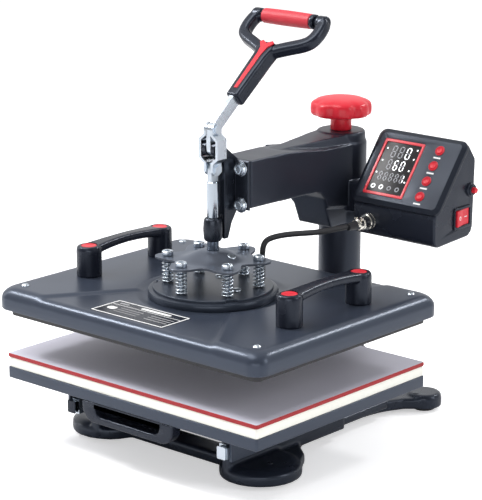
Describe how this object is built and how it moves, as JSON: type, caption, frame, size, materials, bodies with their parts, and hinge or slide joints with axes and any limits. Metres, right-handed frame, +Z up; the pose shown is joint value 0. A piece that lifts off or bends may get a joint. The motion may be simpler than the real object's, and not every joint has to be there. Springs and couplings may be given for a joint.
{
  "type": "heat press",
  "caption": "Swing-away flat heat press: heated upper platen on a spring spider and toggle lever, cast arm on a swivel column, padded lower platen on a drawer, control box.",
  "frame": {"origin": "on the bench top, in the middle of the footprint of the press in x and y", "axes": "+Z up, +X to the operator's right, +Y to the back of the press"},
  "size_m": [0.398, 0.4278, 0.4841],
  "materials": {
    "slate_coat": "satin slate powder coat",
    "casting_paint": "satin dark paint on cast metal",
    "base_paint": "satin black paint on cast metal",
    "black_plastic": "black moulded plastic",
    "black_steel": "black coated steel",
    "red_plastic": "red moulded plastic",
    "red_grip": "red soft-touch plastic",
    "zinc": "bright zinc-plated steel",
    "chrome": "polished chrome",
    "aluminium": "cast aluminium with a non-stick coat",
    "foam": "cream silicone foam",
    "silicone_red": "red silicone sheet with a pale glass-cloth top",
    "rubber_black": "matt black rubber",
    "circuit_board": "green solder mask",
    "display": "dark display window",
    "nickel": "nickel plate"
  },
  "bodies": {
    "base": {"base_frame": "base_paint", "foot_front_left": "rubber_black", "foot_front_right": "rubber_black", "foot_rear_left": "rubber_black", "foot_rear_right": "rubber_black", "slide_outer_left": "zinc", "slide_outer_right": "zinc"},
    "swing_column": {"column": "casting_paint"},
    "drawer": {"slide_inner_left": "zinc", "slide_inner_right": "zinc", "drawer_frame": "slate_coat", "pull_handle": "black_plastic", "lower_plate": "slate_coat", "foam_pad": "foam", "silicone_sheet": "silicone_red"},
    "arm": {"arm_casting": "casting_paint", "guide_bracket": "black_steel", "plunger_guide": "black_steel", "bracket_bolt_1": "zinc", "bracket_bolt_2": "zinc", "bracket_bolt_3": "zinc", "bracket_bolt_4": "zinc", "lever_pivot_bolt": "zinc", "control_box_shell": "black_plastic", "control_panel": "black_plastic", "display_window": "display", "circuit_board": "circuit_board", "heater_cable": "rubber_black", "cable_connector": "nickel"},
    "knob": {"pressure_knob": "red_plastic", "pressure_screw": "zinc"},
    "lever": {"lever_bar": "zinc", "handle_frame": "black_plastic", "handle_grip": "red_grip"},
    "yoke": {"link_yoke": "zinc"},
    "plunger": {"plunger_shaft": "chrome", "spider_plate": "black_steel"},
    "platen": {"platen_housing": "slate_coat", "heater_plate": "aluminium", "mounting_disc": "black_steel", "side_handle_left": "black_plastic", "side_handle_right": "black_plastic", "spring_bolt_1": "zinc", "spring_bolt_2": "zinc", "spring_bolt_3": "zinc", "spring_bolt_4": "zinc", "spring_bolt_5": "zinc", "spring_bolt_6": "zinc", "spring_1": "zinc", "spring_2": "zinc", "spring_3": "zinc", "spring_4": "zinc", "spring_5": "zinc", "spring_6": "zinc"},
    "button_1": {"button_1": "red_plastic"},
    "button_2": {"button_2": "red_plastic"},
    "button_3": {"button_3": "red_plastic"},
    "button_4": {"button_4": "red_plastic"},
    "rocker": {"power_rocker": "red_plastic"},
    "reset": {"reset_button": "red_plastic"}
  },
  "joints": [
    {"name": "drawer_slide", "type": "slide", "parent": "base", "child": "drawer", "axis": [0, -1, 0], "range_m": [0, 0.15]},
    {"name": "head_swing", "type": "hinge", "parent": "base", "child": "swing_column", "pos_m": [0, 0.16308, 0.1], "axis": [0, 0, 1], "range_deg": [-180, 180]},
    {"name": "arm_lift", "type": "slide", "parent": "swing_column", "child": "arm", "axis": [0, 0, 1], "range_m": [0, 0.0075]},
    {"name": "knob_turn", "type": "hinge", "parent": "arm", "child": "knob", "pos_m": [0, 0.16308, 0.36], "axis": [0, 0, 1], "range_deg": [0, 1080]},
    {"name": "lever_swing", "type": "hinge", "parent": "arm", "child": "lever", "pos_m": [0, -0.06342, 0.345], "axis": [1, 0, 0], "range_deg": [0, 180]},
    {"name": "yoke_swing", "type": "hinge", "parent": "lever", "child": "yoke", "pos_m": [0, -0.06342, 0.3675], "axis": [1, 0, 0], "range_deg": [-180, 0]},
    {"name": "plunger_slide", "type": "slide", "parent": "arm", "child": "plunger", "axis": [0, 0, 1], "range_m": [-0.045, 0]},
    {"name": "platen_float", "type": "slide", "parent": "plunger", "child": "platen", "axis": [0, 0, 1], "range_m": [0, 0.003], "stiffness_N_per_m": 6000, "deforming": ["spring_1", "spring_2", "spring_3", "spring_4", "spring_5", "spring_6"]},
    {"name": "power_rock", "type": "hinge", "parent": "arm", "child": "rocker", "pos_m": [0.1705, 0.17158, 0.251], "axis": [0, 0, 1], "range_deg": [0, 16]},
    {"name": "reset_press", "type": "slide", "parent": "arm", "child": "reset", "axis": [-1, 0, 0], "range_m": [0, 0.002]},
    {"name": "button_1_press", "type": "slide", "parent": "arm", "child": "button_1", "axis": [0, 0.7899, -0.6132], "range_m": [0, 0.0012]},
    {"name": "button_2_press", "type": "slide", "parent": "arm", "child": "button_2", "axis": [0, 0.7899, -0.6132], "range_m": [0, 0.0012]},
    {"name": "button_3_press", "type": "slide", "parent": "arm", "child": "button_3", "axis": [0, 0.7899, -0.6132], "range_m": [0, 0.0012]},
    {"name": "button_4_press", "type": "slide", "parent": "arm", "child": "button_4", "axis": [0, 0.7899, -0.6132], "range_m": [0, 0.0012]}
  ],
  "couplings": [
    {"joint": "knob_turn", "follows": "arm_lift", "rad_per_m": 2513.3},
    {"joint": "yoke_swing", "follows": "lever_swing", "ratio": -1},
    {"joint": "plunger_slide", "follows": "lever_swing", "m_per_rad": -0.014324}
  ]
}
